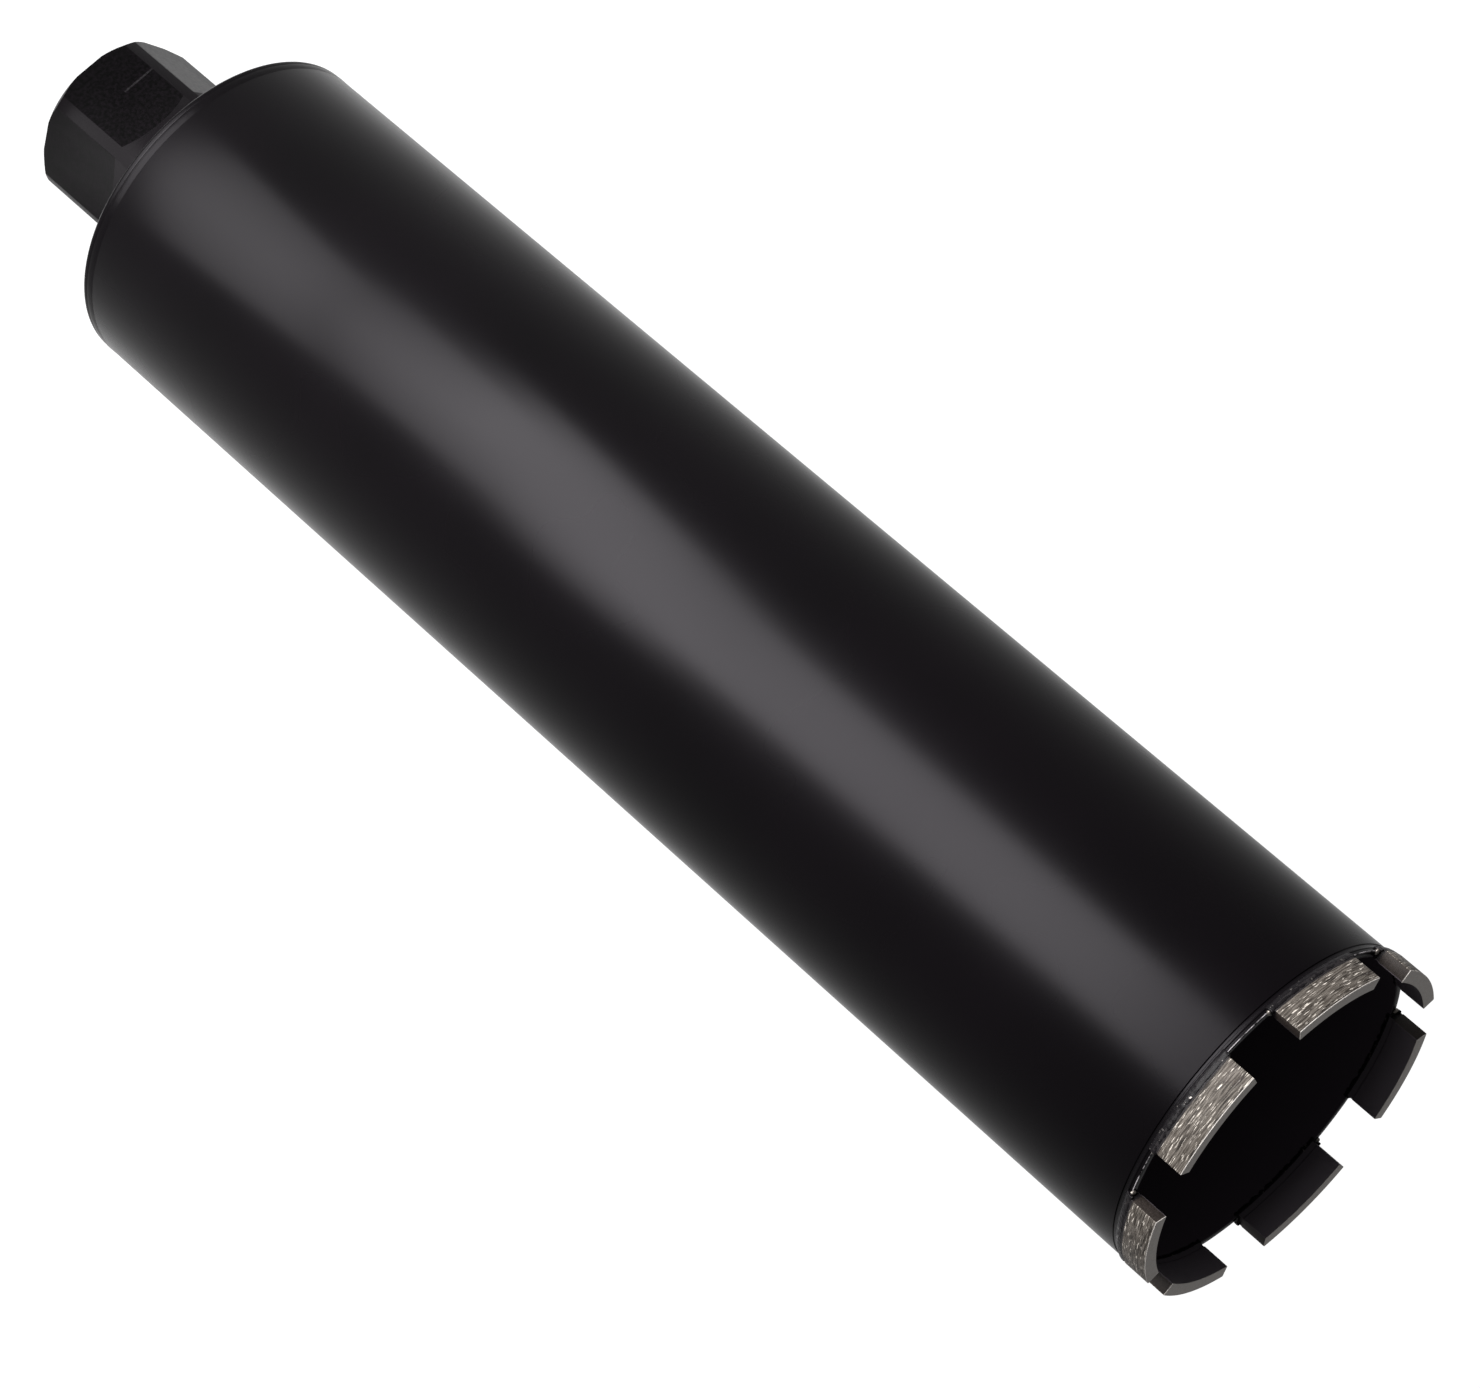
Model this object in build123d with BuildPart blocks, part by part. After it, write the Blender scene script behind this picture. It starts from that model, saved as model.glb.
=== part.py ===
from build123d import *
from math import cos, degrees, radians, sin, sqrt
import os

# Diamond core bit: a steel tube with a threaded hex hub at its back and a crown of diamond segments at its
# front. Millimetres. The origin is the centre of the hub's end face, and +Z runs up the axis to the crown.

# Hub: one length of round bar, turned, milled with six flats and tapped right through
hub_bar_diameter = 46.0
hub_across_flats = 41.3
hub_flat_count = 6
first_flat_angle = -90.0
hub_length = 44.0
hub_end_chamfer = 2.0
flat_length_at_corners = 25.0
flat_cutter_diameter = 32.0
hub_spigot_diameter = 36.0
thread_bore_diameter = 27.8
thread_mouth_diameter = 33.0

# Back plate: a turned disc whose flange carries the tube and whose spigot centres it
tube_diameter = 87.0
tube_wall = 2.0
plate_flange_thickness = 3.0
plate_spigot_depth = 5.0
plate_edge_bevel = 0.8
spigot_clearance = 0.05

# Tube, with a shallow turned seat for the segments at its front end
tube_length = 349.0
crown_seat_length = 2.2
crown_seat_depth = 0.25

# Welds
plate_weld_leg = 1.0
plate_weld_crown = 0.15
plate_weld_land = 1.2
hub_weld_leg = 3.0
hub_weld_crown = 0.3

# Diamond segments: a backing layer that is brazed to the tube, and the cutting layer on top of it
segment_count = 7
first_segment_angle = -62.9
outside_overhang = 0.95
inside_overhang = 0.35
segment_arc_length = 26.0
backing_height = 1.4
backing_inset = 0.2
cutting_layer_height = 7.0
crown_edge_bevel = 0.5

# Brazed seam around the foot of each segment
braze_height = 1.2
braze_inside_bulge = 0.1
braze_end_width = 0.9
braze_end_height = 0.7

# Heights and radii that follow from the values above
tube_outer = tube_diameter / 2
tube_inner = tube_outer - tube_wall
plate_front = hub_length + plate_flange_thickness
plate_inside = plate_front + plate_spigot_depth
tube_front = plate_front + tube_length
seat_outer = tube_outer - crown_seat_depth
hub_outer = hub_bar_diameter / 2
flat_distance = hub_across_flats / 2
hub_spigot_outer = hub_spigot_diameter / 2
bore = thread_bore_diameter / 2
mouth = thread_mouth_diameter / 2
mouth_depth = mouth - bore
segment_outer = tube_outer + outside_overhang
segment_inner = tube_inner - inside_overhang
backing_outer = segment_outer - backing_inset
backing_inner = segment_inner + backing_inset
backing_top = tube_front + backing_height
segment_arc = degrees(segment_arc_length / segment_outer)
hub_weld_throat = hub_weld_leg / 2 + hub_weld_crown
braze_inner = backing_inner - braze_inside_bulge
braze_end_arc = degrees(braze_end_width / tube_outer)

os.makedirs("parts", exist_ok=True)


def half_plane(angle):
    """The plane through the axis at this angle, with x outwards and y up the axis."""
    out = Vector(cos(radians(angle)), sin(radians(angle)), 0)
    return Plane(origin=(0, 0, 0), x_dir=out, z_dir=out.cross(Vector(0, 0, 1)))


def tangent_plane(angle, distance):
    """The plane that touches a cylinder of this radius, with x round it and y up the axis."""
    out = Vector(cos(radians(angle)), sin(radians(angle)), 0)
    return Plane(origin=out * distance, x_dir=Vector(0, 0, 1).cross(out), z_dir=out)


# Hub. The flats are milled with the side of a cutter, so each one ends in the cutter's round.
flat_half_width = sqrt(hub_outer**2 - flat_distance**2)
cutter_radius = flat_cutter_diameter / 2
cutter_stop = flat_length_at_corners - sqrt(cutter_radius**2 - flat_half_width**2)

with BuildPart() as hub:
    with BuildSketch(half_plane(0)):
        with BuildLine():
            Polyline(
                (mouth, 0),
                (hub_outer - hub_end_chamfer, 0),
                (hub_outer, hub_end_chamfer),
                (hub_outer, hub_length),
                (hub_spigot_outer, hub_length),
                (hub_spigot_outer, plate_inside),
                (mouth, plate_inside),
                (bore, plate_inside - mouth_depth),
                (bore, mouth_depth),
                close=True,
            )
        make_face()
    revolve(axis=Axis.Z)
    for index in range(hub_flat_count):
        flat_angle = first_flat_angle + index * 360 / hub_flat_count
        with BuildSketch(tangent_plane(flat_angle, flat_distance)):
            with Locations((0, cutter_stop)):
                Circle(cutter_radius)
                Rectangle(flat_cutter_diameter, hub_length, align=(Align.CENTER, Align.MAX))
        extrude(amount=hub_outer, mode=Mode.SUBTRACT)

hub.part.label = "hub"
export_step(hub.part, "parts/hub.step")

# Back plate
plate_spigot_outer = tube_inner - spigot_clearance
plate_bore = hub_spigot_outer + spigot_clearance

with BuildPart() as back_plate:
    with BuildSketch(half_plane(0)):
        with BuildLine():
            Polyline(
                (plate_bore, hub_length),
                (tube_outer - plate_edge_bevel, hub_length),
                (tube_outer, hub_length + plate_edge_bevel),
                (tube_outer, plate_front - plate_weld_leg),
                (tube_outer - plate_weld_leg, plate_front),
                (plate_spigot_outer, plate_front),
                (plate_spigot_outer, plate_inside),
                (plate_bore, plate_inside),
                close=True,
            )
        make_face()
    revolve(axis=Axis.Z)

back_plate.part.label = "back_plate"
export_step(back_plate.part, "parts/back_plate.step")

# Tube
with BuildPart() as tube:
    with BuildSketch(half_plane(0)):
        with BuildLine():
            Polyline(
                (tube_inner, plate_front),
                (tube_outer - plate_weld_leg, plate_front),
                (tube_outer, plate_front + plate_weld_leg),
                (tube_outer, tube_front - crown_seat_length),
                (seat_outer, tube_front - crown_seat_length),
                (seat_outer, tube_front),
                (tube_inner, tube_front),
                close=True,
            )
        make_face()
    revolve(axis=Axis.Z)

tube.part.label = "tube"
export_step(tube.part, "parts/tube.step")

# Weld ring that fills the groove between the plate's flange and the tube, ground down nearly flush
with BuildPart() as plate_weld:
    with BuildSketch(half_plane(0)):
        with BuildLine():
            Polyline(
                (tube_outer, plate_front - plate_weld_leg),
                (tube_outer - plate_weld_leg, plate_front),
                (tube_outer, plate_front + plate_weld_leg),
                (tube_outer + plate_weld_crown, plate_front + plate_weld_land / 2),
                (tube_outer + plate_weld_crown, plate_front - plate_weld_land / 2),
                close=True,
            )
        make_face()
    revolve(axis=Axis.Z)

plate_weld.part.label = "plate_weld"
export_step(plate_weld.part, "parts/plate_weld.step")

# Fillet weld in the corner between the hub's collar and the plate's back face
with BuildPart() as hub_weld:
    with BuildSketch(half_plane(0)):
        with BuildLine():
            Polyline(
                (hub_outer + hub_weld_leg, hub_length),
                (hub_outer, hub_length),
                (hub_outer, hub_length - hub_weld_leg),
                (hub_outer + hub_weld_throat, hub_length - hub_weld_throat),
                close=True,
            )
        make_face()
    revolve(axis=Axis.Z)

hub_weld.part.label = "hub_weld"
export_step(hub_weld.part, "parts/hub_weld.step")

# Crown: each segment sits astride the tube's front edge, with its seam around its foot
for index in range(segment_count):
    middle_angle = first_segment_angle + index * 360 / segment_count
    start_angle = middle_angle - segment_arc / 2
    end_angle = middle_angle + segment_arc / 2

    with BuildPart() as segment:
        with BuildSketch(half_plane(start_angle)):
            with Locations((backing_inner, tube_front)):
                Rectangle(backing_outer - backing_inner, backing_height, align=(Align.MIN, Align.MIN))
            with Locations((segment_inner, backing_top)):
                Rectangle(segment_outer - segment_inner, cutting_layer_height, align=(Align.MIN, Align.MIN))
        revolve(axis=Axis.Z, revolution_arc=segment_arc)
        chamfer(segment.faces().sort_by(Axis.Z)[-1].edges(), crown_edge_bevel)

    segment.part.label = f"segment_{index + 1}"
    export_step(segment.part, f"parts/segment_{index + 1}.step")

    with BuildPart() as braze:
        with BuildSketch(half_plane(start_angle - braze_end_arc)):
            with BuildLine():
                Polyline(
                    (seat_outer, tube_front - braze_height),
                    (seat_outer, tube_front),
                    (backing_outer, tube_front),
                    close=True,
                )
            make_face()
            with BuildLine():
                Polyline(
                    (tube_inner, tube_front - braze_height),
                    (tube_inner, tube_front),
                    (braze_inner, tube_front),
                    close=True,
                )
            make_face()
        revolve(axis=Axis.Z, revolution_arc=segment_arc + 2 * braze_end_arc)
        for foot_angle in (start_angle - braze_end_arc, end_angle):
            with BuildSketch(half_plane(foot_angle)):
                with Locations((braze_inner, tube_front)):
                    Rectangle(backing_outer - braze_inner, braze_end_height, align=(Align.MIN, Align.MIN))
            revolve(axis=Axis.Z, revolution_arc=braze_end_arc)

    braze.part.label = f"braze_{index + 1}"
    export_step(braze.part, f"parts/braze_{index + 1}.step")
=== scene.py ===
import math

import bmesh
import bpy
from mathutils import Matrix, Vector


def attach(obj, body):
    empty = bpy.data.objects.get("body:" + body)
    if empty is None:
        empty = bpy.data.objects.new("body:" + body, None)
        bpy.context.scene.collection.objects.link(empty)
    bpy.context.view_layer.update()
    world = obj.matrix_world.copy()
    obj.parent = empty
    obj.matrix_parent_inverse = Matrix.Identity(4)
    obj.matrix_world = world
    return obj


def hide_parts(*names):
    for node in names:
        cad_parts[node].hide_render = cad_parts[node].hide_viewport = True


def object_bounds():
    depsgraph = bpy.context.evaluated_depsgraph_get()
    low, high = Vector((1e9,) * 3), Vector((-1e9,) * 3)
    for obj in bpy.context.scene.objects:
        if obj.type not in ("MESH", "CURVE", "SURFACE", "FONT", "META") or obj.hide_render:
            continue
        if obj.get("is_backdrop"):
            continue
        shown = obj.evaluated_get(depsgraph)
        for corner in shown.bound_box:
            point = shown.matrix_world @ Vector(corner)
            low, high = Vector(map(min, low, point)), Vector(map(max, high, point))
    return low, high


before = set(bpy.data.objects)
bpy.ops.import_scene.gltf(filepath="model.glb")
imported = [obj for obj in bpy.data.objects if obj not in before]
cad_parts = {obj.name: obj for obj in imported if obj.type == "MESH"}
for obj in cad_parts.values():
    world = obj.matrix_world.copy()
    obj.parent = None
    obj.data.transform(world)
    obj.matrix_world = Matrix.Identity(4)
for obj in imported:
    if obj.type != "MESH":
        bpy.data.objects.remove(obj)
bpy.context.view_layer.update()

# Sizes of the real part in millimetres, measured from the hub's end face up the axis
MM = 0.001
TUBE_OUTER = 43.5
TUBE_INNER = 41.5
TUBE_FRONT = 396.0
SEAT_OUTER = 43.25
SEAT_START = 393.8
PLATE_FRONT = 47.0
PLATE_INSIDE = 52.0
PLATE_BORE = 18.05
PLATE_SPIGOT = 41.45
PLATE_BEVEL = 0.8
PLATE_WELD_LEG = 1.0
HUB_LENGTH = 44.0
HUB_OUTER = 23.0
HUB_SPIGOT = 18.0
HUB_END_BEVEL = 2.0
HUB_WELD_LEG = 3.0

# Flats of the hub, the first of which faces -Y. The side of the cutter leaves a round at the end of each.
FLAT_DISTANCE = 20.65
FLAT_COUNT = 6
CUTTER_RADIUS = 16.0
FLAT_END = 12.52

# Thread in the hub: 1-1/4 inch, 7 threads to the inch, drilled to the pilot and then tapped
PITCH = 25.4 / 7
PILOT = 13.0
THREAD_MINOR = 13.9
THREAD_MAJOR = 15.875
MOUTH = 16.5

# Diamond segments: a narrow backing at the foot and a wider cutting layer up to the crown
SEGMENT_COUNT = 7
FIRST_SEGMENT = -62.9
SEGMENT_ARC = 33.51
SEGMENT_OUTER = 44.45
SEGMENT_INNER = 41.15
BACKING_OUTER = 44.25
BACKING_INNER = 41.35
BACKING_TOP = 397.4
CROWN = 404.4

# Scribed line on the front flat, its middle at this place along X and up the hub
SCRIBE_X = -5.55
SCRIBE_Z = 12.8
SCRIBE_LENGTH = 9.1
SCRIBE_WIDTH = 0.6
SCRIBE_DEPTH = 0.06

# Steps round the circle for turned parts, and for welds that are then rippled or roughened
ROUND = 256
FINE_ROUND = 480

# The black paints mirror less than real enamel does, so that the white surroundings leave them black
PAINT_IOR = 1.12


# Modelling helpers


def linear(text):
    """An sRGB hex colour as the linear colour that a shader takes."""
    values = [int(text[i : i + 2], 16) / 255 for i in (1, 3, 5)]
    return [v / 12.92 if v <= 0.04045 else ((v + 0.055) / 1.055) ** 2.4 for v in values] + [1.0]


def alone(obj):
    """Deselects everything but this object."""
    bpy.ops.object.select_all(action="DESELECT")
    obj.select_set(True)
    bpy.context.view_layer.objects.active = obj


def pick(obj, test):
    """In edit mode, selects the vertices whose place in millimetres passes the test."""
    bpy.ops.mesh.select_all(action="DESELECT")
    bpy.ops.mesh.select_mode(type="VERT")
    mesh = bmesh.from_edit_mesh(obj.data)
    for vertex in mesh.verts:
        vertex.select_set(test(vertex.co / MM))
    mesh.select_flush_mode()
    bmesh.update_edit_mesh(obj.data)


def clean(obj, gap=0.005):
    """In edit mode, merges points this close, in millimetres, and turns the faces outwards."""
    bpy.ops.mesh.select_mode(type="VERT")
    bpy.ops.mesh.select_all(action="SELECT")
    bpy.ops.mesh.remove_doubles(threshold=gap * MM)
    bpy.ops.mesh.select_all(action="SELECT")
    bpy.ops.mesh.normals_make_consistent(inside=False)
    bpy.ops.object.mode_set(mode="OBJECT")


def modify(obj, kind, **settings):
    """Adds a modifier and applies it."""
    alone(obj)
    made = obj.modifiers.new(kind.lower(), kind)
    for key, value in settings.items():
        setattr(made, key, value)
    bpy.ops.object.modifier_apply(modifier=made.name)


def bevel(obj, width, segments, angle):
    """Rounds the edges that turn by more than this angle in degrees."""
    modify(
        obj,
        "BEVEL",
        width=width * MM,
        segments=segments,
        limit_method="ANGLE",
        angle_limit=math.radians(angle),
    )


def cut(obj, tool):
    """Cuts the tool's shape out of the object and removes the tool."""
    modify(obj, "BOOLEAN", object=tool, operation="DIFFERENCE", solver="EXACT")
    bpy.data.objects.remove(tool)


def roughen(obj, name, grain, height):
    """Gives a hand-made surface its lumps: grain and height in millimetres."""
    texture = bpy.data.textures.new(name, "CLOUDS")
    texture.noise_scale = grain * MM
    texture.noise_depth = 2
    modify(
        obj, "DISPLACE", texture=texture, texture_coords="LOCAL", strength=height * MM, mid_level=0.5
    )
    bpy.data.textures.remove(texture)


def turned(name, rings, steps):
    """A turned ring: a circle that is drawn from radius to radius up the axis and closed on itself."""
    bpy.ops.object.select_all(action="DESELECT")
    radius, height = rings[0]
    bpy.ops.mesh.primitive_circle_add(vertices=steps, radius=radius * MM, location=(0, 0, 0))
    obj = bpy.context.active_object
    obj.name = obj.data.name = name
    bpy.ops.object.mode_set(mode="EDIT")
    bpy.ops.mesh.select_all(action="SELECT")
    bpy.ops.transform.translate(value=(0, 0, height * MM))
    for next_radius, next_height in rings[1:] + rings[:1]:
        bpy.ops.mesh.extrude_region_move(
            TRANSFORM_OT_translate={"value": (0, 0, (next_height - height) * MM)}
        )
        grow = next_radius / radius
        bpy.ops.transform.resize(value=(grow, grow, 1), center_override=(0, 0, 0))
        radius, height = next_radius, next_height
    clean(obj)
    return obj


def spun(name, corners, start, arc, steps):
    """A flat outline in radius and height, swept round the axis from the start angle."""
    bpy.ops.object.select_all(action="DESELECT")
    bpy.ops.mesh.primitive_circle_add(vertices=len(corners), radius=MM, fill_type="NGON")
    obj = bpy.context.active_object
    obj.name = obj.data.name = name
    bpy.ops.object.mode_set(mode="EDIT")
    mesh = bmesh.from_edit_mesh(obj.data)
    turn = math.radians(start)
    for corner, (radius, height) in zip(mesh.verts, corners):
        corner.co = Vector((radius * math.cos(turn), radius * math.sin(turn), height)) * MM
    bmesh.update_edit_mesh(obj.data)
    bpy.ops.mesh.select_all(action="SELECT")
    # Spin turns clockwise, so the arc is negative
    bpy.ops.mesh.spin(steps=steps, angle=-math.radians(arc), center=(0, 0, 0), axis=(0, 0, 1))
    clean(obj)
    return obj


def copied(obj, name, angle):
    """A copy with its own mesh, turned round the axis."""
    made = obj.copy()
    made.data = obj.data.copy()
    made.name = made.data.name = name
    bpy.context.scene.collection.objects.link(made)
    made.matrix_world = Matrix.Rotation(math.radians(angle), 4, "Z")
    alone(made)
    bpy.ops.object.transform_apply(location=True, rotation=True, scale=True)
    return made


def settle(obj, material, slot, *nodes, angle=30):
    """A finished piece: smooth, in its finish, on the body, in the place of its CAD nodes."""
    alone(obj)
    bpy.ops.object.transform_apply(location=True, rotation=True, scale=True)
    bpy.ops.object.mode_set(mode="EDIT")
    clean(obj, 0.003)
    bpy.ops.object.shade_smooth_by_angle(angle=math.radians(angle))
    obj.data.materials.clear()
    obj.data.materials.append(material)
    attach(obj, "root")
    if nodes:
        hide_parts(*nodes)


# Material helpers

# Sockets of a Mix node: its share, its two colours and their mix, and its two numbers
SHARE, FIRST, SECOND = 0, 6, 7
MIXED_COLOUR = 2
FIRST_NUMBER, SECOND_NUMBER = 2, 3


def per(size):
    """The scale of a pattern whose grains are this many millimetres apart."""
    return 1 / (size * MM)


def fill(tree, node, inputs):
    """Fills a node's inputs with values or with other nodes' outputs."""
    for key, value in inputs.items():
        if isinstance(value, bpy.types.NodeSocket):
            tree.links.new(value, node.inputs[key])
        else:
            node.inputs[key].default_value = value


def add(tree, kind, inputs, **settings):
    """Adds one node, sets what it is told and fills its inputs."""
    made = tree.nodes.new(kind)
    for key, value in settings.items():
        setattr(made, key, value)
    fill(tree, made, inputs)
    return made


def blank(name):
    """A new material with nothing in it but its shader, its output and the piece's own coordinates."""
    made = bpy.data.materials.new(name)
    made.use_nodes = True
    tree = made.node_tree
    tree.nodes.clear()
    shader = add(tree, "ShaderNodeBsdfPrincipled", {})
    add(tree, "ShaderNodeOutputMaterial", {"Surface": shader.outputs["BSDF"]})
    place = add(tree, "ShaderNodeTexCoord", {}).outputs["Object"]
    return made, tree, shader, place


def reckon(tree, operation, *values):
    """The result of one sum on one, two or three numbers."""
    return add(tree, "ShaderNodeMath", dict(enumerate(values)), operation=operation).outputs[0]


def ramp(tree, value, low, high, start=0, end=1):
    """Turns a value that runs from low to high into one from start to end, and stops at both."""
    inputs = {"Value": value, "From Min": low, "From Max": high, "To Min": start, "To Max": end}
    return add(tree, "ShaderNodeMapRange", inputs).outputs[0]


def ramp_mm(tree, value, low, high):
    """From 0 to 1 where a radius or a height runs between two sizes in millimetres."""
    return ramp(tree, value, low * MM, high * MM)


def blend(tree, share, first, second):
    """A mix of two colours, each a hex text or another node's colour."""
    first, second = [linear(c) if isinstance(c, str) else c for c in (first, second)]
    inputs = {SHARE: share, FIRST: first, SECOND: second}
    return add(tree, "ShaderNodeMix", inputs, data_type="RGBA").outputs[MIXED_COLOUR]


def between(tree, share, first, second):
    """A mix of two numbers."""
    inputs = {SHARE: share, FIRST_NUMBER: first, SECOND_NUMBER: second}
    return add(tree, "ShaderNodeMix", inputs, data_type="FLOAT").outputs[0]


def grains(tree, place, size, detail):
    """Noise in grains of this many millimetres."""
    inputs = {"Vector": place, "Scale": per(size), "Detail": detail}
    return add(tree, "ShaderNodeTexNoise", inputs).outputs[0]


def tool_lines(tree, travel, spacing, detail):
    """Lines this many millimetres apart, across the way that a cutting tool went."""
    inputs = {"W": travel, "Scale": per(spacing), "Detail": detail}
    return add(tree, "ShaderNodeTexNoise", inputs, noise_dimensions="1D").outputs[0]


def strokes(tree, sheet, degrees, length, width, detail):
    """Noise in strokes of this length and width in millimetres, at an angle to the sheet's first way."""
    inputs = {
        "Vector": sheet,
        "Rotation": (0, 0, math.radians(degrees)),
        "Scale": (per(length), per(width), per(length)),
    }
    slant = add(tree, "ShaderNodeMapping", inputs).outputs[0]
    inputs = {"Vector": slant, "Scale": 1, "Detail": detail}
    return add(tree, "ShaderNodeTexNoise", inputs).outputs[0]


def relief(tree, height, strength, depth, under=None):
    """Bumps of this depth in millimetres, by themselves or on top of others."""
    inputs = {"Height": height, "Strength": strength, "Distance": depth * MM}
    if under is not None:
        inputs["Normal"] = under
    return add(tree, "ShaderNodeBump", inputs).outputs[0]


def round_axis(tree, place):
    """Where a point is on a turned part: its radius, its angle in radians and its height."""
    part = add(tree, "ShaderNodeSeparateXYZ", {0: place})
    flat = add(tree, "ShaderNodeVectorMath", {0: place, 1: (1, 1, 0)}, operation="MULTIPLY")
    radius = add(tree, "ShaderNodeVectorMath", {0: flat.outputs[0]}, operation="LENGTH")
    angle = reckon(tree, "ARCTAN2", part.outputs["Y"], part.outputs["X"])
    return radius.outputs["Value"], angle, part.outputs["Z"]


# Materials


def satin_tube_paint():
    """Satin black stoving enamel, sprayed on turned steel tube.

    It gives the eye an almost black tube with long soft reflections. The gloss changes a little over patches
    as wide as a spray pass, and fine turning lines show under the coat where light grazes it. A grey line on
    the outer corner of the front edge is partly paint rubbed thin to grey steel and partly a painted
    highlight of the lit edge, and the inside wall is painted a lighter grey as painted light in the bore.
    """
    made, tree, shader, place = blank("satin_tube_paint")
    radius, _, height = round_axis(tree, place)

    # Spray passes about 60 mm wide, orange peel 1.5 mm, turning lines 0.35 mm apart
    passes = grains(tree, place, 60, 2)
    peel = grains(tree, place, 1.5, 2)
    lines = tool_lines(tree, reckon(tree, "ADD", radius, height), 0.35, 1)
    tint = blend(tree, passes, "#010101", "#030203")

    # Rubbed edge and painted highlight: the outer corner of the front, for 0.2 mm, is painted lighter grey,
    # broken up by grains of 2.5 mm, as paint rubbed thin and as the highlight of the lit edge
    front = ramp_mm(tree, height, TUBE_FRONT - 0.22, TUBE_FRONT - 0.1)
    outer = ramp_mm(tree, radius, SEAT_OUTER - 0.35, SEAT_OUTER - 0.2)
    corner = reckon(tree, "MULTIPLY", front, outer)
    patchy = ramp(tree, grains(tree, place, 2.5, 3), 0.36, 0.5)
    painted_highlight_and_wear = reckon(tree, "MULTIPLY", corner, patchy)
    coat = blend(tree, painted_highlight_and_wear, tint, "#6A6769")

    # Inside, the wall is duller, and it is painted a lighter grey as painted light that reaches into the
    # bore
    inside = ramp_mm(tree, radius, TUBE_INNER + 0.6, TUBE_INNER + 0.3)
    colour = blend(tree, inside, coat, "#1E1A1E")
    sprayed = ramp(tree, passes, 0.3, 0.7, 0.25, 0.29)
    gloss = between(tree, inside, sprayed, 0.6)

    grazed = relief(tree, lines, 0.12, 0.01)
    skin = relief(tree, peel, 0.2, 0.02, under=grazed)
    fill(tree, shader, {"Base Color": colour, "Roughness": gloss, "Normal": skin})
    fill(tree, shader, {"IOR": PAINT_IOR, "Specular Tint": linear("#FDF8FF")})
    return made


def painted_hub_steel():
    """Thin satin black enamel over milled and turned steel, with a bare tapped bore.

    It gives the eye flats that are a little mottled and carry the faint arcs of the face mill, fine turning
    lines on the round parts, one scribed line on the front flat, and oily steel in the thread.
    """
    made, tree, shader, place = blank("painted_hub_steel")
    radius, angle, height = round_axis(tree, place)
    part = add(tree, "ShaderNodeSeparateXYZ", {0: place}).outputs

    # Angle from the middle of the nearest flat, and so the place across that flat and out from the axis.
    # The flats are one sixth of a turn apart, from -90 degrees on.
    sixth = math.tau / FLAT_COUNT
    from_first = reckon(tree, "ADD", angle, math.radians(90))
    nearest = reckon(tree, "SNAP", reckon(tree, "ADD", from_first, sixth / 2), sixth)
    offset = reckon(tree, "SUBTRACT", from_first, nearest)
    across = reckon(tree, "MULTIPLY", reckon(tree, "SINE", offset), radius)
    out = reckon(tree, "MULTIPLY", reckon(tree, "COSINE", offset), radius)
    level = reckon(tree, "COMPARE", out, FLAT_DISTANCE * MM, 0.08 * MM)
    within = reckon(tree, "LESS_THAN", radius, (HUB_OUTER - 0.04) * MM)
    on_flat = reckon(tree, "MULTIPLY", level, within)

    # The cutter has a radius of 16 mm and went up the flat, so its marks are arcs of that radius
    across_squared = reckon(tree, "POWER", across, 2)
    rise = reckon(tree, "SQRT", reckon(tree, "SUBTRACT", (CUTTER_RADIUS * MM) ** 2, across_squared))
    swept = reckon(tree, "SUBTRACT", height, rise)

    # Turning lines on the round parts, drawn from the radius and the height together. The lines of both
    # kinds are 0.3 mm apart on the real hub and 0.6 mm here, so that they show.
    travel = between(tree, on_flat, reckon(tree, "ADD", radius, height), swept)
    lines = tool_lines(tree, travel, 0.6, 2)

    # Mottling in grains of 0.9 mm, and orange peel of 0.8 mm. The turned surfaces get a little greyer black
    # than the milled flats.
    mottle = grains(tree, place, 0.9, 4)
    peel = grains(tree, place, 0.8, 2)
    paint = blend(tree, ramp(tree, mottle, 0.4, 0.62), "#010101", "#040304")
    coat = blend(tree, on_flat, "#060506", paint)

    # Scribed line, which is fainter where the orange peel is low
    in_length = reckon(tree, "COMPARE", part["X"], SCRIBE_X * MM, SCRIBE_LENGTH / 2 * MM)
    in_width = reckon(tree, "COMPARE", part["Z"], SCRIBE_Z * MM, SCRIBE_WIDTH / 2 * MM)
    in_front = reckon(tree, "LESS_THAN", part["Y"], -(FLAT_DISTANCE - 0.3) * MM)
    scribed = reckon(tree, "MULTIPLY", reckon(tree, "MULTIPLY", in_length, in_width), in_front)
    scratch = reckon(tree, "MULTIPLY", scribed, ramp(tree, peel, 0.3, 0.6, 0.35, 0.9))
    marked = blend(tree, scratch, coat, "#161516")

    bare = reckon(tree, "LESS_THAN", radius, (MOUTH + 0.25) * MM)
    colour = blend(tree, bare, marked, "#7D7975")
    gloss = ramp(tree, mottle, 0.3, 0.7, 0.34, 0.4)
    grazed = relief(tree, lines, 0.35, 0.02)
    skin = relief(tree, peel, 0.3, 0.02, under=grazed)
    fill(tree, shader, {"Base Color": colour, "Metallic": bare, "Roughness": gloss, "Normal": skin})
    fill(tree, shader, {"IOR": PAINT_IOR, "Specular Tint": linear("#B6B3B6")})
    return made


def painted_braze():
    """Silver solder that froze in lumps and was painted over, and has lost its paint on some of them.

    It gives the eye an uneven dark line round each segment's foot with small grey glints in it.
    """
    made, tree, shader, place = blank("painted_braze")
    # Lumps of 1.2 mm lose their paint, and the frozen skin is wrinkled every 0.5 mm
    bare = ramp(tree, grains(tree, place, 1.2, 2), 0.66, 0.7)
    wrinkles = grains(tree, place, 0.5, 3)
    colour = blend(tree, bare, "#060506", "#4A4745")
    skin = relief(tree, wrinkles, 0.4, 0.04)
    fill(tree, shader, {"Base Color": colour, "Metallic": bare, "Normal": skin})
    fill(tree, shader, {"Roughness": 0.36, "IOR": PAINT_IOR})
    return made


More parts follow.
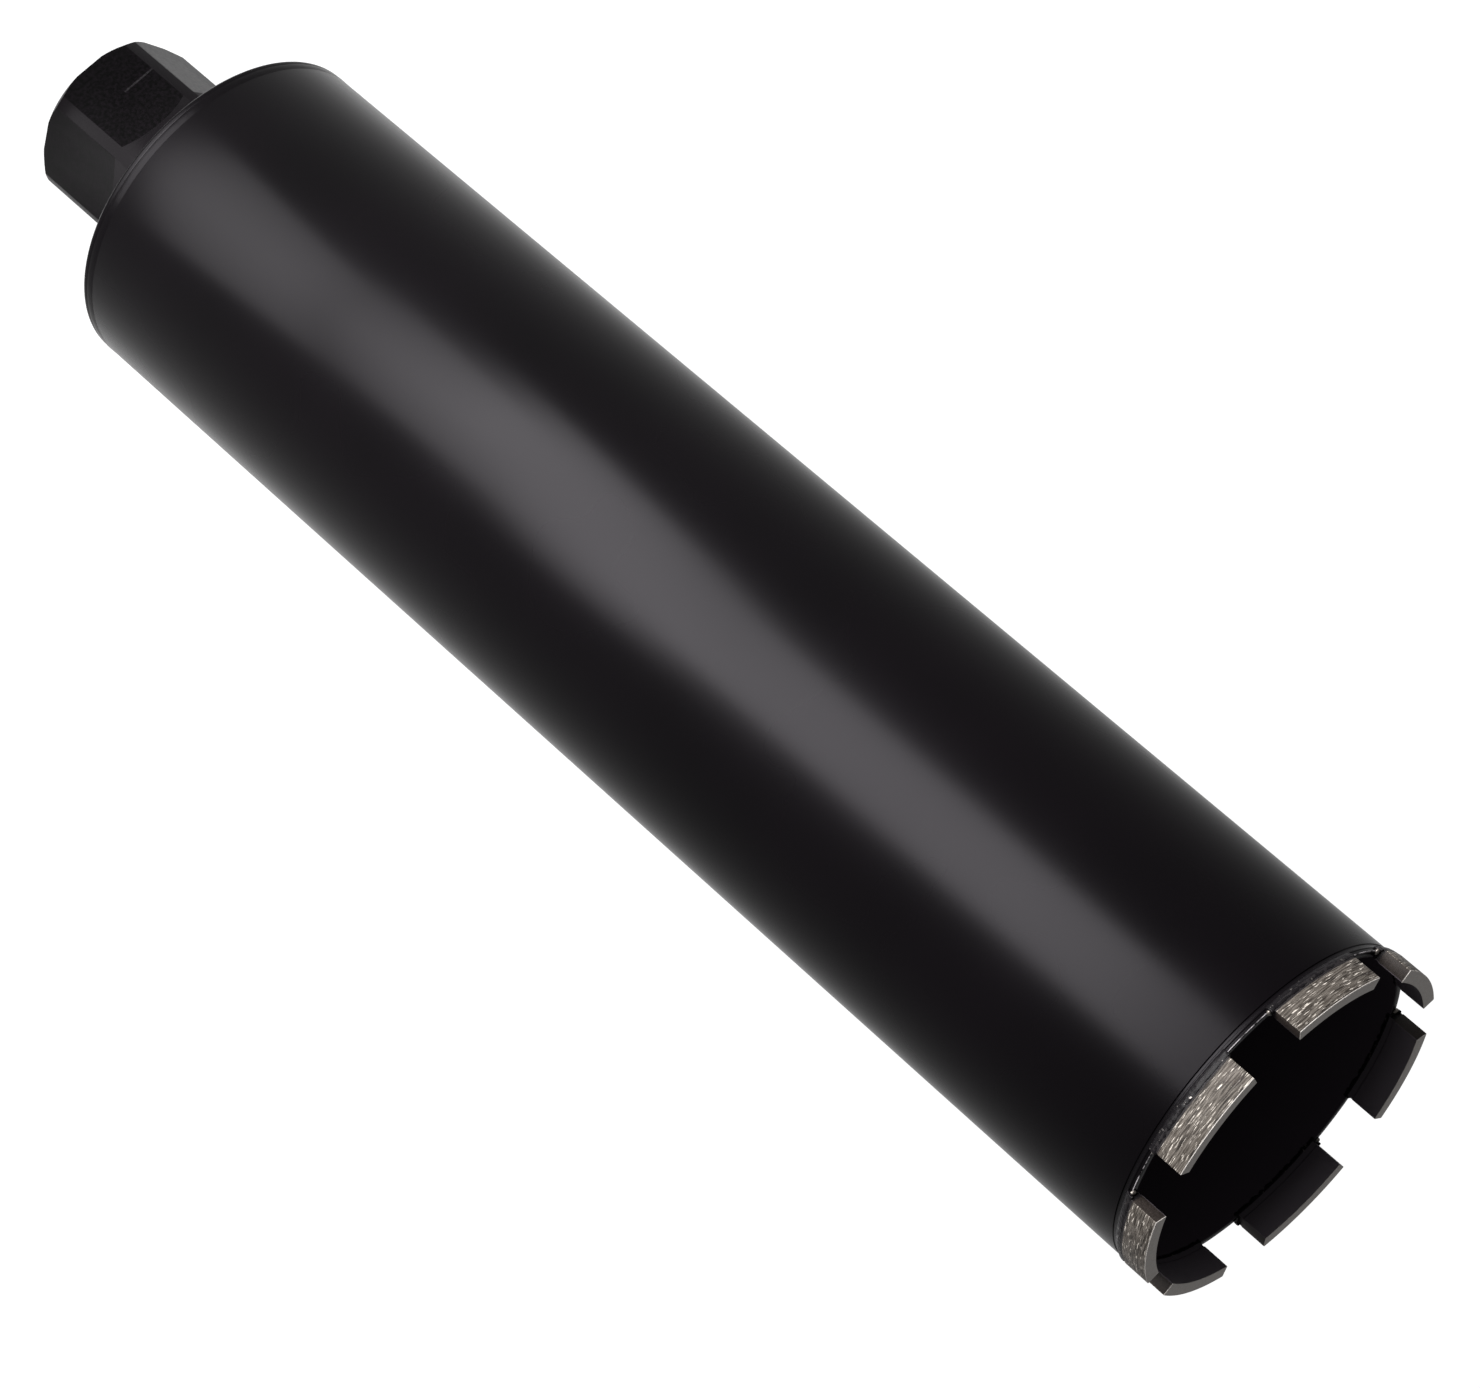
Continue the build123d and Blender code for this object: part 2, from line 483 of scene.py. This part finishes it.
def bare_silver_solder():
    """Silver solder, frozen in a bead and left bare.

    It gives the eye a small light spot with a dull, slightly yellow-grey skin.
    """
    made, tree, shader, place = blank("bare_silver_solder")
    # Oxide in patches of 0.4 mm
    oxide = grains(tree, place, 0.4, 3)
    colour = blend(tree, oxide, "#3A3734", "#6E6964")
    skin = relief(tree, oxide, 0.4, 0.05)
    fill(tree, shader, {"Base Color": colour, "Normal": skin})
    fill(tree, shader, {"Metallic": 1, "Roughness": 0.5})
    return made


def ground_segment_metal():
    """Sintered bronze and steel with diamond grit: ground outside, dressed on the crown, painted elsewhere.

    It gives the eye bright and dark scratches that run round the bit at a slant, with a few painted glints
    across them, a plain grey crown with a lighter corner, dressed and also painted lighter as painted light
    from above, brown-grey ends with thin paint, a black foot, and an inside wall painted a lighter grey as
    painted light.
    """
    made, tree, shader, place = blank("ground_segment_metal")
    radius, angle, height = round_axis(tree, place)
    around = reckon(tree, "MULTIPLY", angle, SEGMENT_OUTER * MM)
    sheet = add(tree, "ShaderNodeCombineXYZ", {"X": around, "Y": height, "Z": radius}).outputs[0]

    # Grinding scratches are under 0.1 mm wide and are drawn 0.35 mm wide, so that they show. They are about
    # 4 mm long and lie 20 degrees off the circle. Broader strokes of 9 mm by 1 mm lie under them, and a few
    # painted glints, light strokes of 2.5 mm by 0.3 mm, cross them at 35 degrees.
    fine = strokes(tree, sheet, 20, 4, 0.35, 3)
    broad = strokes(tree, sheet, 14, 9, 1, 3)
    painted_glint_strokes = strokes(tree, sheet, 35, 2.5, 0.3, 2)
    base = blend(tree, ramp(tree, broad, 0.36, 0.66), "#110E0C", "#292521")
    scratched = blend(tree, ramp(tree, fine, 0.42, 0.62), base, "#3D3935")
    metal = blend(tree, ramp(tree, painted_glint_strokes, 0.6, 0.68), scratched, "#7A756F")

    # The crown was dressed flat: an even grey with specks of grit, 0.5 mm apart. This grey is also painted
    # much lighter than the ground sides, as painted light from above on the top face and its rounded corner
    grit = grains(tree, place, 0.5, 2)
    dressed = blend(tree, grit, "#7B7773", "#9A9693")
    on_crown = ramp_mm(tree, height, CROWN - 0.24, CROWN - 0.06)
    bright = blend(tree, on_crown, metal, dressed)

    # Paint: black on the foot, a lighter grey on the inside wall as painted light reaching in, and thin and
    # brown over the ends of the segment
    ends = blend(tree, grit, "#0A0706", "#1F1B19")
    inner_wall = ramp_mm(tree, radius, SEGMENT_INNER + 0.4, SEGMENT_INNER + 0.25)
    black = blend(tree, inner_wall, "#0D0B0C", "#322E32")
    past_inside = ramp_mm(tree, radius, SEGMENT_INNER + 0.05, SEGMENT_INNER + 0.3)
    above_foot = ramp_mm(tree, height, BACKING_TOP - 0.05, BACKING_TOP + 0.1)
    thin = reckon(tree, "MULTIPLY", past_inside, above_foot)
    paint = blend(tree, thin, black, ends)

    outside = ramp_mm(tree, radius, SEGMENT_OUTER - 0.22, SEGMENT_OUTER - 0.12)
    ground = reckon(tree, "MAXIMUM", outside, on_crown)
    bare = reckon(tree, "MULTIPLY", ground, above_foot)
    colour = blend(tree, bare, paint, bright)
    # Grit and pores break up the metal, so that only a small part of it mirrors
    metallic = reckon(tree, "MULTIPLY", bare, 0.12)
    matt = ramp(tree, grit, 0, 1, 0.48, 0.66)
    cuts = reckon(tree, "MULTIPLY", reckon(tree, "ADD", fine, broad), bare)
    scored = relief(tree, cuts, 0.7, 0.06)
    skin = relief(tree, grit, 0.3, 0.04, under=scored)
    fill(tree, shader, {"Base Color": colour, "Metallic": metallic, "Roughness": matt, "Normal": skin})
    fill(tree, shader, {"Specular IOR Level": 0.06})
    return made


TUBE_PAINT = satin_tube_paint()
HUB_STEEL = painted_hub_steel()
BRAZE_PAINT = painted_braze()
SOLDER = bare_silver_solder()
SEGMENT_METAL = ground_segment_metal()


# Barrel, back plate and their welds


# A shallow groove and a low ridge mark where the segments' seat starts
groove_end = SEAT_START + 0.7
ridge_end = SEAT_START + 1.3
ridge_outer = SEAT_OUTER + 0.14
barrel = turned(
    "barrel",
    [
        (TUBE_INNER, PLATE_FRONT),
        (TUBE_OUTER - PLATE_WELD_LEG, PLATE_FRONT),
        (TUBE_OUTER, PLATE_FRONT + PLATE_WELD_LEG),
        (TUBE_OUTER, SEAT_START),
        (SEAT_OUTER, SEAT_START + 0.1),
        (SEAT_OUTER, groove_end),
        (ridge_outer, groove_end + 0.1),
        (ridge_outer, ridge_end),
        (SEAT_OUTER, ridge_end + 0.1),
        (SEAT_OUTER, TUBE_FRONT),
        (TUBE_INNER, TUBE_FRONT),
    ],
    ROUND,
)
bevel(barrel, 0.1, 2, 25)
settle(barrel, TUBE_PAINT, "tube_paint", "tube")

plate = turned(
    "back_disc",
    [
        (PLATE_BORE, HUB_LENGTH),
        (TUBE_OUTER - PLATE_BEVEL, HUB_LENGTH),
        (TUBE_OUTER, HUB_LENGTH + PLATE_BEVEL),
        (TUBE_OUTER, PLATE_FRONT - PLATE_WELD_LEG),
        (TUBE_OUTER - PLATE_WELD_LEG, PLATE_FRONT),
        (PLATE_SPIGOT, PLATE_FRONT),
        (PLATE_SPIGOT, PLATE_INSIDE),
        (PLATE_BORE, PLATE_INSIDE),
    ],
    ROUND,
)
bevel(plate, 0.3, 3, 25)
settle(plate, TUBE_PAINT, "tube_paint", "back_plate")

# Ground down until it stands only 0.06 mm proud of the tube
plate_bead = turned(
    "disc_weld",
    [
        (TUBE_OUTER - 0.95, PLATE_FRONT),
        (TUBE_OUTER - 0.4, PLATE_FRONT + 0.65),
        (TUBE_OUTER, PLATE_FRONT + 1.05),
        (TUBE_OUTER + 0.03, PLATE_FRONT + 0.7),
        (TUBE_OUTER + 0.05, PLATE_FRONT + 0.3),
        (TUBE_OUTER + 0.06, PLATE_FRONT - 0.1),
        (TUBE_OUTER + 0.05, PLATE_FRONT - 0.5),
        (TUBE_OUTER + 0.02, PLATE_FRONT - 0.8),
        (TUBE_OUTER, PLATE_FRONT - 1.05),
        (TUBE_OUTER - 0.4, PLATE_FRONT - 0.65),
    ],
    FINE_ROUND,
)
roughen(plate_bead, "disc_weld_lumps", 1.6, 0.06)
settle(plate_bead, TUBE_PAINT, "tube_paint", "plate_weld", angle=60)

hub_bead = turned(
    "hub_fillet_weld",
    [
        (HUB_OUTER, HUB_LENGTH),
        (HUB_OUTER, HUB_LENGTH - HUB_WELD_LEG / 2),
        (HUB_OUTER, HUB_LENGTH - HUB_WELD_LEG),
        (HUB_OUTER + 0.6, HUB_LENGTH - 2.75),
        (HUB_OUTER + 1.2, HUB_LENGTH - 2.35),
        (HUB_OUTER + 1.8, HUB_LENGTH - 1.8),
        (HUB_OUTER + 2.35, HUB_LENGTH - 1.2),
        (HUB_OUTER + 2.75, HUB_LENGTH - 0.6),
        (HUB_OUTER + HUB_WELD_LEG, HUB_LENGTH),
        (HUB_OUTER + HUB_WELD_LEG / 2, HUB_LENGTH),
    ],
    FINE_ROUND,
)


def ripple_phase(p):
    """Where a point of the bead is in its ripple, from 0 to 3. Each ripple is slanted and 4 steps long."""
    step = math.degrees(math.atan2(p.y, p.x)) / (360 / FINE_ROUND)
    return round(step + (p.z - HUB_LENGTH) * 0.8) % 4


# The ripples that a welder leaves, 120 of them round the hub, each with a crest and one lower side
alone(hub_bead)
bpy.ops.object.mode_set(mode="EDIT")
for phase, depth in ((0, 0.16), (1, 0.08)):
    pick(
        hub_bead,
        lambda p: math.hypot(p.x, p.y) > HUB_OUTER + 0.3
        and p.z < HUB_LENGTH - 0.3
        and ripple_phase(p) == phase,
    )
    bpy.ops.transform.shrink_fatten(value=depth * MM)
bpy.ops.object.mode_set(mode="OBJECT")
settle(hub_bead, HUB_STEEL, "hub_paint", "hub_weld", angle=70)


# Hub: turned, milled with six flats, then tapped


hub = turned(
    "hex_hub",
    [
        (PILOT, 0),
        (HUB_OUTER - HUB_END_BEVEL, 0),
        (HUB_OUTER, HUB_END_BEVEL),
        (HUB_OUTER, HUB_LENGTH),
        (HUB_SPIGOT, HUB_LENGTH),
        (HUB_SPIGOT, PLATE_INSIDE),
        (PILOT, PLATE_INSIDE),
    ],
    128,
)
upright = Matrix.Rotation(math.radians(90), 4, "X")
for index in range(FLAT_COUNT):
    # The space that the cutter sweeps: half round above, and straight past the hub's end below
    bpy.ops.object.select_all(action="DESELECT")
    bpy.ops.mesh.primitive_circle_add(vertices=96, radius=CUTTER_RADIUS * MM, fill_type="NGON")
    cutter = bpy.context.active_object
    bpy.ops.object.mode_set(mode="EDIT")
    pick(cutter, lambda p: p.y < 0.001)
    bpy.ops.transform.resize(value=(1, 0, 1), center_override=(0, 0, 0))
    bpy.ops.transform.translate(value=(0, -(FLAT_END + 5) * MM, 0))
    bpy.ops.mesh.select_all(action="SELECT")
    bpy.ops.mesh.remove_doubles(threshold=0.01 * MM)
    bpy.ops.mesh.extrude_region_move(TRANSFORM_OT_translate={"value": (0, 0, 8 * MM)})
    clean(cutter)
    turn = Matrix.Rotation(index * math.tau / FLAT_COUNT, 4, "Z")
    lift = Matrix.Translation((0, -FLAT_DISTANCE * MM, FLAT_END * MM))
    cutter.matrix_world = turn @ lift @ upright
    cut(hub, cutter)
bevel(hub, 0.18, 2, 20)

# Scribed line: a shallow groove with round ends, cut in the front flat
bpy.ops.object.select_all(action="DESELECT")
bpy.ops.mesh.primitive_circle_add(vertices=16, radius=SCRIBE_WIDTH / 2 * MM, fill_type="NGON")
scriber = bpy.context.active_object
bpy.ops.object.mode_set(mode="EDIT")
for side in (-1, 1):
    pick(scriber, lambda p: p.x * side > 0.001)
    bpy.ops.transform.translate(value=(side * (SCRIBE_LENGTH - SCRIBE_WIDTH) / 2 * MM, 0, 0))
bpy.ops.mesh.select_all(action="SELECT")
bpy.ops.mesh.extrude_region_move(TRANSFORM_OT_translate={"value": (0, 0, 2 * MM)})
clean(scriber)
groove_floor = -(FLAT_DISTANCE - SCRIBE_DEPTH)
scriber.matrix_world = Matrix.Translation((SCRIBE_X * MM, groove_floor * MM, SCRIBE_Z * MM)) @ upright
cut(hub, scriber)

# Tap: one turn of the thread's outline, drawn up the axis like a screw. It starts as a single point.
bpy.ops.object.select_all(action="DESELECT")
bpy.ops.mesh.primitive_plane_add(size=0.001)
tap = bpy.context.active_object
bpy.ops.object.mode_set(mode="EDIT")
pick(tap, lambda p: p.x > 0 or p.y > 0)
bpy.ops.mesh.delete(type="VERT")
bpy.ops.mesh.select_all(action="SELECT")
corner = bmesh.from_edit_mesh(tap.data).verts[:][0].co.copy()
bpy.ops.transform.translate(value=(THREAD_MINOR * MM - corner.x, -corner.y, -2 * PITCH * MM))
crest, root = PITCH / 4, PITCH / 8
flank = (PITCH - crest - root) / 2
depth = THREAD_MAJOR - THREAD_MINOR
for out, up in ((0, crest), (depth, flank), (0, root), (-depth, flank)):
    bpy.ops.mesh.extrude_region_move(TRANSFORM_OT_translate={"value": (out * MM, 0, up * MM)})
bpy.ops.object.mode_set(mode="OBJECT")
modify(
    tap,
    "SCREW",
    axis="Z",
    angle=math.tau,
    screw_offset=PITCH * MM,
    iterations=18,
    steps=72,
    render_steps=72,
    use_merge_vertices=True,
    merge_threshold=0.01 * MM,
)
alone(tap)
bpy.ops.object.mode_set(mode="EDIT")
bpy.ops.mesh.select_all(action="SELECT")
bpy.ops.mesh.remove_doubles(threshold=0.01 * MM)
for height, side in ((-1, "clear_inner"), (PLATE_INSIDE + 1, "clear_outer")):
    bpy.ops.mesh.select_all(action="SELECT")
    bpy.ops.mesh.bisect(
        plane_co=(0, 0, height * MM), plane_no=(0, 0, 1), use_fill=True, **{side: True}
    )
clean(tap)
cut(hub, tap)

# A cone opens the thread at each end, and reaches 1 mm past the hub
mouth_depth = MOUTH - THREAD_MINOR
for low, high in ((-1, mouth_depth), (PLATE_INSIDE + 1, PLATE_INSIDE - mouth_depth)):
    bpy.ops.object.select_all(action="DESELECT")
    wide = MOUTH + 1
    bpy.ops.mesh.primitive_cone_add(
        vertices=144,
        radius1=(wide if low < high else THREAD_MINOR) * MM,
        radius2=(THREAD_MINOR if low < high else wide) * MM,
        depth=abs(high - low) * MM,
        location=(0, 0, (low + high) / 2 * MM),
    )
    cut(hub, bpy.context.active_object)
settle(hub, HUB_STEEL, "hub_paint", "hub")


# Diamond segments and their brazed seams, each drawn once with its middle on +X


first_segment = spun(
    "first_segment",
    [
        (BACKING_INNER, TUBE_FRONT),
        (BACKING_OUTER, TUBE_FRONT),
        (BACKING_OUTER, BACKING_TOP),
        (SEGMENT_OUTER, BACKING_TOP + 0.12),
        (SEGMENT_OUTER, CROWN),
        (SEGMENT_INNER, CROWN),
        (SEGMENT_INNER, BACKING_TOP + 0.12),
        (BACKING_INNER, BACKING_TOP),
    ],
    -SEGMENT_ARC / 2,
    SEGMENT_ARC,
    24,
)
bevel(first_segment, 0.28, 3, 55)

# One seam: a bead outside, a bead inside and a fillet at each end, run together
END_ARC = 0.8
SEAM_START = -SEGMENT_ARC / 2 - END_ARC
SEAM_ARC = SEGMENT_ARC + 2 * END_ARC
outer_bead = spun(
    "outer_bead",
    [
        (43.0, TUBE_FRONT - 1.25),
        (43.4, TUBE_FRONT - 1.2),
        (43.8, TUBE_FRONT - 0.85),
        (44.1, TUBE_FRONT - 0.35),
        (44.24, TUBE_FRONT + 0.15),
        (44.3, TUBE_FRONT + 0.6),
        (44.26, TUBE_FRONT + 1.0),
        (44.0, TUBE_FRONT + 1.1),
        (43.0, TUBE_FRONT + 0.3),
    ],
    SEAM_START,
    SEAM_ARC,
    60,
)
inner_bead = spun(
    "inner_bead",
    [
        (41.7, TUBE_FRONT - 1.15),
        (41.52, TUBE_FRONT - 1.1),
        (41.44, TUBE_FRONT - 0.7),
        (41.4, TUBE_FRONT - 0.3),
        (41.42, TUBE_FRONT + 0.1),
        (41.7, TUBE_FRONT + 0.2),
    ],
    SEAM_START,
    SEAM_ARC,
    60,
)
fillet = [
    (41.5, TUBE_FRONT - 0.4),
    (44.1, TUBE_FRONT - 0.4),
    (44.0, TUBE_FRONT + 0.5),
    (41.6, TUBE_FRONT + 0.5),
]
fillets = [
    spun("end_fillet", fillet, foot, END_ARC + 0.2, 4) for foot in (SEAM_START, SEGMENT_ARC / 2 - 0.2)
]
alone(outer_bead)
for bead in (inner_bead, *fillets):
    bead.select_set(True)
bpy.ops.object.join()
first_seam = bpy.context.active_object
modify(first_seam, "REMESH", mode="VOXEL", voxel_size=0.16 * MM)
modify(first_seam, "SMOOTH", factor=0.5, iterations=3)

# One bead of solder, left on the tube's front edge beside a segment's foot
bpy.ops.object.select_all(action="DESELECT")
bpy.ops.mesh.primitive_ico_sphere_add(subdivisions=3, radius=0.68 * MM, location=(0, 0, 0))
first_bead = bpy.context.active_object
bpy.ops.object.mode_set(mode="EDIT")
bpy.ops.mesh.select_all(action="SELECT")
bpy.ops.transform.resize(value=(1.15, 0.9, 0.75))
bpy.ops.transform.translate(value=(43.1 * MM, 0, (TUBE_FRONT + 0.15) * MM))
bpy.ops.object.mode_set(mode="OBJECT")

# The second segment is the only one whose bead is at its other end
for index in range(SEGMENT_COUNT):
    number = index + 1
    middle = FIRST_SEGMENT + index * 360 / SEGMENT_COUNT
    segment = copied(first_segment, f"diamond_segment_{number}", middle)
    settle(segment, SEGMENT_METAL, "segment_metal", f"segment_{number}")
    seam = copied(first_seam, f"brazed_seam_{number}", middle)
    roughen(seam, "seam_lumps", 1.3, 0.28)
    settle(seam, BRAZE_PAINT, "braze_paint", f"braze_{number}", angle=60)
    side = -1 if number == 2 else 1
    bead = copied(first_bead, f"solder_bead_{number}", middle + side * (SEGMENT_ARC / 2 + 1.0))
    roughen(bead, "bead_lumps", 0.7, 0.25)
    settle(bead, SOLDER, "braze_paint", angle=60)
for pattern in (first_segment, first_seam, first_bead):
    bpy.data.objects.remove(pattern)


# Stage: floor, lights and camera


# The floor is a little below the hub's end face, so that the two never fall into one plane
bpy.ops.object.select_all(action="DESELECT")
bpy.ops.mesh.primitive_plane_add(size=12, location=(0, 0, -0.2 * MM))
floor = bpy.context.active_object
floor.name = "floor"


def opal_acrylic_floor():
    """Opal acrylic, cast in a sheet and lit from below.

    It gives the eye an even white with only the faintest cloud in it, in patches of 40 mm.
    """
    made, tree, shader, place = blank("opal_acrylic_floor")
    milk = blend(tree, grains(tree, place, 40, 2), "#929192", "#989798")
    fill(tree, shader, {"Base Color": milk, "Roughness": 0.8, "Specular IOR Level": 0.2})
    fill(tree, shader, {"Emission Color": linear("#FFFFFF"), "Emission Strength": 0.9})
    return made


floor.data.materials.append(opal_acrylic_floor())
floor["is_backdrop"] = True

scene = bpy.context.scene
scene.view_settings.view_transform = "Standard"
scene.world = bpy.data.worlds.new("studio_world")
scene.world.use_nodes = True
sky = scene.world.node_tree.nodes["Background"]
fill(scene.world.node_tree, sky, {"Color": linear("#FFFFFF"), "Strength": 0.4})


def soft_box(name, place, target, width, height, power, spread=180):
    """A soft light at a place that faces a target, each as azimuth, distance and height, in metres."""
    data = bpy.data.lights.new(name, "AREA")
    data.shape = "RECTANGLE"
    data.size, data.size_y, data.energy, data.spread = width, height, power, math.radians(spread)
    box = bpy.data.objects.new(name, data)
    scene.collection.objects.link(box)
    ends = []
    for azimuth, distance, rise in (place, target):
        turn = math.radians(azimuth)
        ends.append(Vector((distance * math.cos(turn), distance * math.sin(turn), rise)))
    box.location = ends[0]
    box.rotation_euler = (ends[0] - ends[1]).to_track_quat("Z", "Y").to_euler()
    box.visible_camera = False


# The key light is one soft strip in front of the tool, which the barrel mirrors as a long soft band. It is
# made of panels that each serve one stretch of the tool: from the hub on, three small ones that lean back
# and face it, one on the floor and three that stand behind that.
FRONT = -76
soft_box("leaning_panel_foot", (-46, 0.0375, 0.0137), (-46, 0.0135, 0.0311), 0.036, 0.032, 0.009, 90)
soft_box("leaning_panel_near", (-72, 0.105, 0.0235), (-72, 0.0435, 0.0650), 0.105, 0.054, 0.083, 90)
soft_box("leaning_panel_middle", (FRONT, 0.19, 0.041), (FRONT, 0.0435, 0.1305), 0.18, 0.066, 0.20, 90)
soft_box("floor_panel_far", (FRONT, 0.45, 0.003), (FRONT, 0.45, 1), 0.50, 0.28, 14.5)
soft_box("upright_panel_low", (FRONT, 0.62, 0.05), (FRONT, 0, 0.15), 0.50, 0.10, 3.1)
soft_box("upright_panel_middle", (FRONT, 0.85, 0.10), (FRONT, 0, 0.10), 0.70, 0.18, 12.0)
soft_box("upright_panel_high", (FRONT, 0.85, 0.28), (FRONT, 0, 0.28), 0.68, 0.18, 12.0)

# A long lens that looks down at the tool from in front, rolled so that the crown points down to the right
camera_data = bpy.data.cameras.new("camera")
camera_data.lens = 117.51
camera_data.sensor_width = 36.0
camera_data.clip_start, camera_data.clip_end = 0.05, 20
camera = bpy.data.objects.new("camera", camera_data)
scene.collection.objects.link(camera)
scene.camera = camera
right = Vector((-0.7182, 0.14781, 0.67996))
up = Vector((-0.65614, -0.46918, -0.59106))
back = Vector((0.23166, -0.87064, 0.43395))
stand = Matrix.Translation((0.26183, -0.95994, 0.71639))
camera.matrix_world = stand @ Matrix((right, up, back)).transposed().to_4x4()

low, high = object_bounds()
